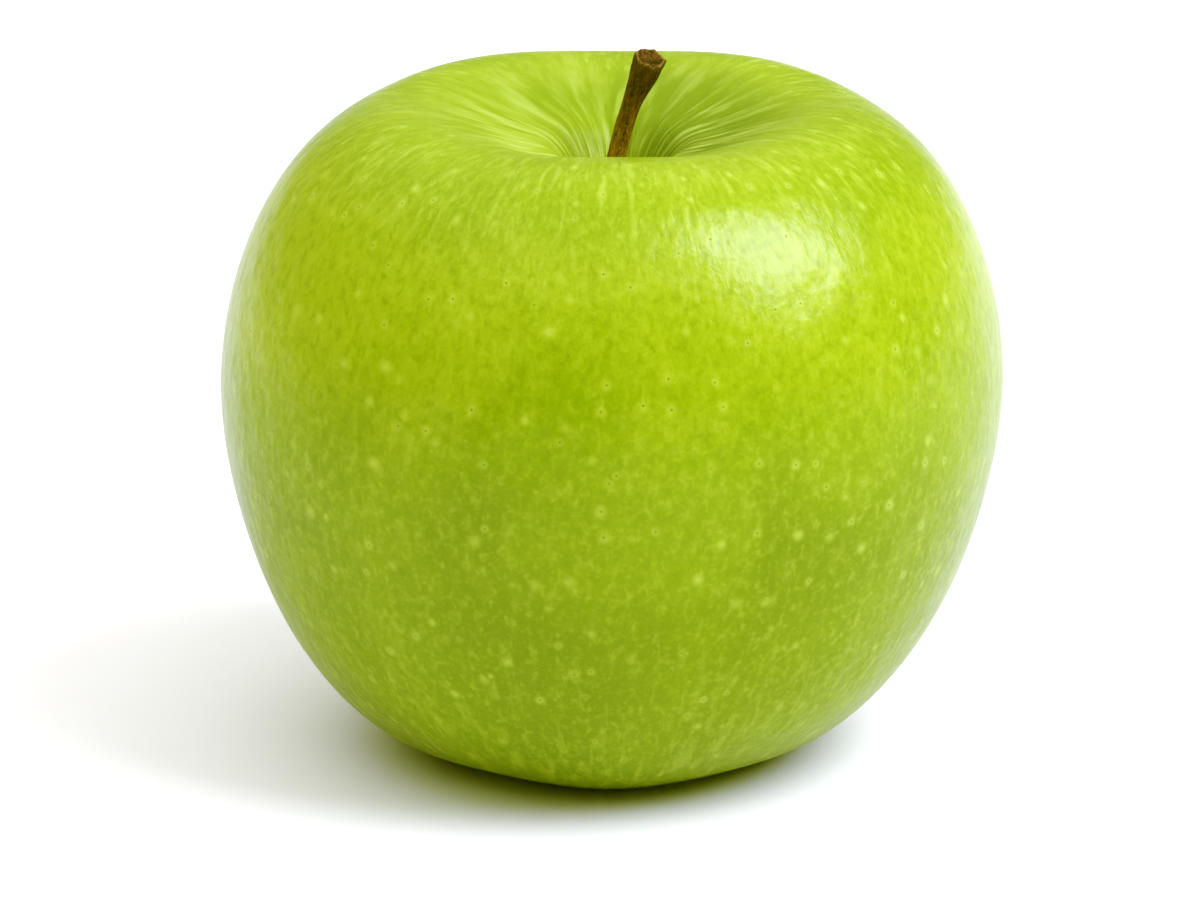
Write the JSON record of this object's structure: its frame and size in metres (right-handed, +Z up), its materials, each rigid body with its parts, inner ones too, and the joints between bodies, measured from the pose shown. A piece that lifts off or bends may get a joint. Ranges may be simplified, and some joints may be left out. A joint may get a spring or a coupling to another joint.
{
  "type": "green apple",
  "caption": "Whole green apple standing on its base, with a bent woody stem in the cavity on top and dried sepals in the basin underneath.",
  "frame": {"origin": "on the ground under the middle of the fruit", "axes": "+Z up along the apple's core, from the flower end to the stem; +X is the side the stem leans to; the front of the picture looks along +Y"},
  "size_m": [0.0792, 0.0766, 0.0723],
  "materials": {
    "skin": "smooth waxy green skin with a soft satin shine, pale dots and faint streaks",
    "bark": "dry brown fibrous bark with a pale torn end",
    "dried_sepal": "dry dull grey-brown, slightly downy",
    "dried_stamen": "dry matt dark brown"
  },
  "bodies": {
    "root": {"fruit": "skin", "stem": "bark", "sepal_1": "dried_sepal", "sepal_2": "dried_sepal", "sepal_3": "dried_sepal", "sepal_4": "dried_sepal", "sepal_5": "dried_sepal", "dried_stamens": "dried_stamen"}
  },
  "joints": []
}
